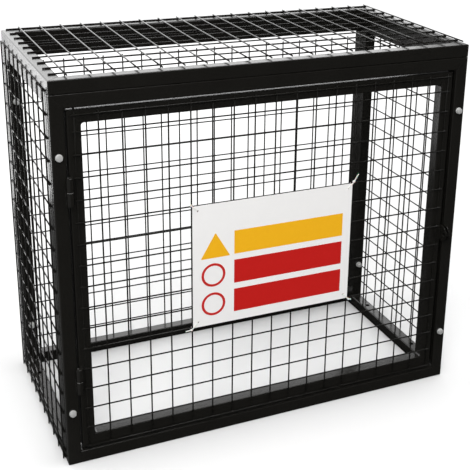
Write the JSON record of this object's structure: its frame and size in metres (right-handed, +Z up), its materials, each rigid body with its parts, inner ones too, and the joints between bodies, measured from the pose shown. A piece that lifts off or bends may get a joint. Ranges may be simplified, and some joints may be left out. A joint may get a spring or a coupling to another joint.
{
  "type": "gas cylinder storage cage",
  "caption": "Free-standing square-tube and welded wire mesh cage for gas cylinders, open at the base, with a full-width hinged front door, padlock lugs and a plate.",
  "frame": {"origin": "on the floor, under the middle of the whole cage", "axes": "+Z up, -Y out of the door, +X along the front to the right as seen from the front"},
  "size_m": [1.012, 0.53, 0.906],
  "materials": {
    "black_powder_coat": "satin black powder coat on steel",
    "sign_panel": "white rigid plastic sheet with printed colour panels"
  },
  "bodies": {
    "cage": {"back_bottom_rail": "black_powder_coat", "back_left_post": "black_powder_coat", "back_mesh": "black_powder_coat", "back_right_post": "black_powder_coat", "back_top_rail": "black_powder_coat", "front_bottom_rail": "black_powder_coat", "front_left_post": "black_powder_coat", "front_right_post": "black_powder_coat", "front_top_rail": "black_powder_coat", "left_side_back_post": "black_powder_coat", "left_side_bottom_rail": "black_powder_coat", "left_side_front_post": "black_powder_coat", "left_side_mesh": "black_powder_coat", "left_side_top_rail": "black_powder_coat", "lower_hinge_frame_half": "black_powder_coat", "post_padlock_bracket": "black_powder_coat", "right_side_back_post": "black_powder_coat", "right_side_bottom_rail": "black_powder_coat", "right_side_front_post": "black_powder_coat", "right_side_mesh": "black_powder_coat", "right_side_top_rail": "black_powder_coat", "top_back_rail": "black_powder_coat", "top_front_rail": "black_powder_coat", "top_left_rail": "black_powder_coat", "top_mesh": "black_powder_coat", "top_right_rail": "black_powder_coat", "upper_hinge_frame_half": "black_powder_coat"},
    "door": {"door_bottom_rail": "black_powder_coat", "door_hinge_stile": "black_powder_coat", "door_latch_stile": "black_powder_coat", "door_mesh": "black_powder_coat", "door_padlock_bracket": "black_powder_coat", "door_top_rail": "black_powder_coat", "lower_hinge_door_half": "black_powder_coat", "sign_plate": "sign_panel", "upper_hinge_door_half": "black_powder_coat"}
  },
  "joints": [
    {"name": "door_hinge", "type": "hinge", "parent": "cage", "child": "door", "pos_m": [-0.4675, -0.2485, 0.4395], "axis": [0, 0, -1], "range_deg": [0, 180]}
  ]
}
